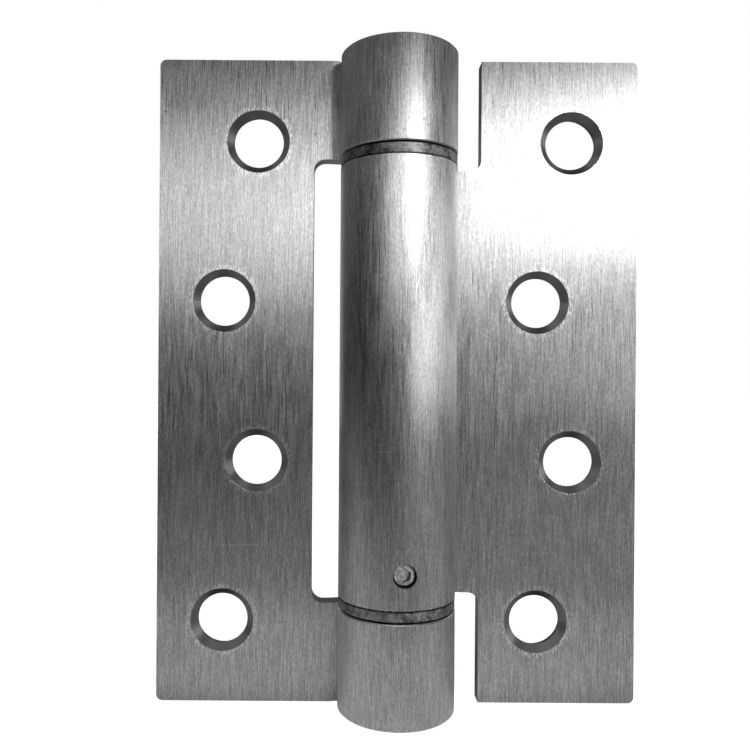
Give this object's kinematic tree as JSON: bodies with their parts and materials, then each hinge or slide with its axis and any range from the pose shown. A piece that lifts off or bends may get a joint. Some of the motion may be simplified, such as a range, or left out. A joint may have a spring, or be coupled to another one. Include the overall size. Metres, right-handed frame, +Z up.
{
  "type": "spring hinge",
  "caption": "Single-action door spring hinge in satin steel: two rolled leaves with countersunk holes, a long spring barrel between two knuckles, flanged bushes and a lock screw.",
  "frame": {"origin": "on the pin axis at mid height, which is the centre of the hinge's box when it lies open flat", "axes": "+Z up along the pin axis, +Y towards the back faces that bear on the frame and the door, -Y towards the viewer and the countersinks, +X towards the door leaf"},
  "size_m": [0.076, 0.0182, 0.102],
  "materials": {
    "satin_steel": "satin, brushed along the pin",
    "turned_steel": "turned",
    "oiled_steel": "dark, oiled",
    "spring_steel": "drawn wire, oiled",
    "screw_steel": "bright, worn"
  },
  "bodies": {
    "frame": {"frame_leaf": "satin_steel", "upper_spindle": "turned_steel", "lower_spindle": "turned_steel", "torsion_spring": "spring_steel"},
    "door": {"door_leaf": "satin_steel", "upper_bush": "oiled_steel", "lower_bush": "oiled_steel"},
    "adjuster": {"tension_adjuster": "turned_steel"},
    "lock": {"lock_screw": "screw_steel"}
  },
  "joints": [
    {"name": "leaf_swing", "type": "hinge", "parent": "frame", "child": "door", "pos_m": [0, 0, 0], "axis": [0, 0, 1], "range_deg": [-180, 0], "stiffness_Nm_per_rad": 0.5, "deforming": ["torsion_spring"]},
    {"name": "tension_adjust", "type": "hinge", "parent": "door", "child": "adjuster", "pos_m": [0, 0, -0.0283], "axis": [0, 0, 1], "range_deg": [0, 360], "deforming": ["torsion_spring"]},
    {"name": "lock_screw_travel", "type": "slide", "parent": "door", "child": "lock", "axis": [0.0767, -0.9971, 0], "range_m": [0, 0.0015]}
  ]
}
